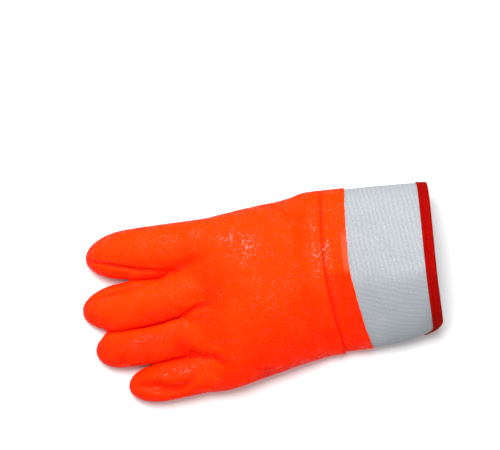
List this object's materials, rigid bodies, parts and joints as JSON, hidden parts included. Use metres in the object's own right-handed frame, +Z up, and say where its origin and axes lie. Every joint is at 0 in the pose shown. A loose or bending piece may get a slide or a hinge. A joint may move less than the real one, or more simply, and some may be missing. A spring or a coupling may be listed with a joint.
{
  "type": "pvc coated work glove",
  "caption": "Left-hand work glove with a grainy plastic coating and a stiff canvas safety cuff bound with tape, lying palm down with the thumb tucked under",
  "frame": {"origin": "centre of the glove's bounding box in plan, on the surface it lies on", "axes": "+X along the glove from the fingertips to the cuff's mouth, +Y towards the thumb's side, +Z up out of the back of the hand"},
  "size_m": [0.2926, 0.1534, 0.0709],
  "materials": {
    "pvc_coating": "bright orange plastic coating with a fine sandy grain and small wet glints",
    "canvas": "stiff bleached cotton canvas in a fine twill, matt",
    "binding_tape": "red woven tape, folded over the edge and sewn, slight sheen"
  },
  "bodies": {
    "root": {"coated_hand": "pvc_coating", "canvas_cuff": "canvas", "mouth_binding": "binding_tape"}
  },
  "joints": []
}
